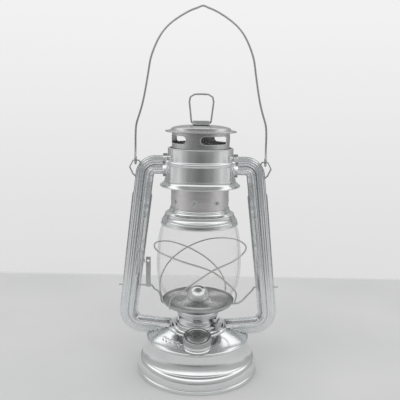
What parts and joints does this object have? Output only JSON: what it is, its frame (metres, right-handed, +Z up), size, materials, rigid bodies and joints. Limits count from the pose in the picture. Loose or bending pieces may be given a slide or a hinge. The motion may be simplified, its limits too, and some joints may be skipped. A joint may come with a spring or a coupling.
{
  "type": "barn lantern",
  "caption": "Kerosene lantern of tinned sheet with side air tubes, flat-wick burner, lifting glass globe, sprung sliding chimney, cap ring and swinging bail.",
  "frame": {"origin": "bottom centre: the middle of the foot rim on the surface that the lantern stands on", "axes": "+Z up along the lantern's axis; -Y is the front, where the filler cap is; the side tubes lie along X"},
  "size_m": [0.1586, 0.1182, 0.3495],
  "materials": {
    "tinplate": "bright tinned and plated sheet, polished, with pressed seams",
    "brushed_sheet": "plated sheet with fine turning marks",
    "plated_wire": "drawn and plated round wire",
    "globe_glass": "clear blown glass, smooth",
    "wick_cotton": "woven flat cotton tape, charred at its tip",
    "gasket_rubber": "matt black sealing washer",
    "spring_steel": "bare drawn steel"
  },
  "bodies": {
    "frame": {"tank_wall": "tinplate", "tank_floor": "tinplate", "tank_dome": "tinplate", "filler_neck": "tinplate", "burner_collar": "tinplate", "burner_body": "tinplate", "burner_cone": "tinplate", "wick_tube": "tinplate", "left_tube_front": "tinplate", "left_tube_rear": "tinplate", "right_tube_front": "tinplate", "right_tube_rear": "tinplate", "left_hood_collar": "tinplate", "right_hood_collar": "tinplate", "bail_ear_left": "tinplate", "bail_ear_right": "tinplate", "hood_shell": "tinplate", "hood_skirt": "tinplate", "lever_catch": "plated_wire", "chimney_spring": "spring_steel"},
    "bail": {"bail": "plated_wire"},
    "cap_thread": {"filler_gasket": "gasket_rubber"},
    "cap": {"filler_cap": "brushed_sheet"},
    "wick_drive": {"wick_shaft": "spring_steel", "spur_wheel_inner": "spring_steel", "spur_wheel_outer": "spring_steel", "wick_knob": "tinplate"},
    "wick": {"wick": "wick_cotton"},
    "lift": {"lift_wire": "plated_wire", "lift_lever": "tinplate"},
    "globe_carrier": {"globe_plate": "tinplate", "globe": "globe_glass", "guard_wire_outer": "plated_wire", "guard_wire_inner": "plated_wire"},
    "chimney": {"inner_chimney": "brushed_sheet", "globe_gallery": "brushed_sheet", "spring_seat": "brushed_sheet", "cap_band": "brushed_sheet", "cap_top": "brushed_sheet", "ring_saddle": "brushed_sheet"},
    "ring": {"cap_ring": "plated_wire"}
  },
  "joints": [
    {"name": "bail_swing", "type": "hinge", "parent": "frame", "child": "bail", "pos_m": [0, 0, 0.2072], "axis": [1, 0, 0], "range_deg": [-110, 110]},
    {"name": "cap_rise", "type": "slide", "parent": "frame", "child": "cap_thread", "axis": [0, -0.2334, 0.9724], "range_m": [0, 0.00498]},
    {"name": "cap_turn", "type": "hinge", "parent": "cap_thread", "child": "cap", "pos_m": [0, -0.0376, 0.0485], "axis": [0, -0.2334, 0.9724], "range_deg": [0, 720]},
    {"name": "wick_turn", "type": "hinge", "parent": "frame", "child": "wick_drive", "pos_m": [-0.00194, -0.00417, 0.0511], "axis": [0.9063, -0.4226, 0], "range_deg": [-95, 47]},
    {"name": "wick_slide", "type": "slide", "parent": "frame", "child": "wick", "axis": [0, 0, 1], "range_m": [-0.0056, 0.0027]},
    {"name": "lift_turn", "type": "hinge", "parent": "frame", "child": "lift", "pos_m": [0, 0, 0.0845], "axis": [1, 0, 0], "range_deg": [0, 30.1]},
    {"name": "globe_lift", "type": "slide", "parent": "frame", "child": "globe_carrier", "axis": [0, 0, 1], "range_m": [0, 0.008]},
    {"name": "chimney_raise", "type": "slide", "parent": "globe_carrier", "child": "chimney", "axis": [0, 0, 1], "range_m": [0, 0.01], "stiffness_N_per_m": 60, "springref_m": -0.02, "deforming": ["chimney_spring"]},
    {"name": "ring_swing", "type": "hinge", "parent": "chimney", "child": "ring", "pos_m": [0, 0, 0.243], "axis": [1, 0, 0], "range_deg": [-90, 90]}
  ],
  "couplings": [
    {"joint": "lift_turn", "follows": "globe_lift", "rad_per_m": 65.45},
    {"joint": "wick_turn", "follows": "wick_slide", "rad_per_m": 294.12},
    {"joint": "cap_turn", "follows": "cap_rise", "rad_per_m": 2518.9}
  ]
}
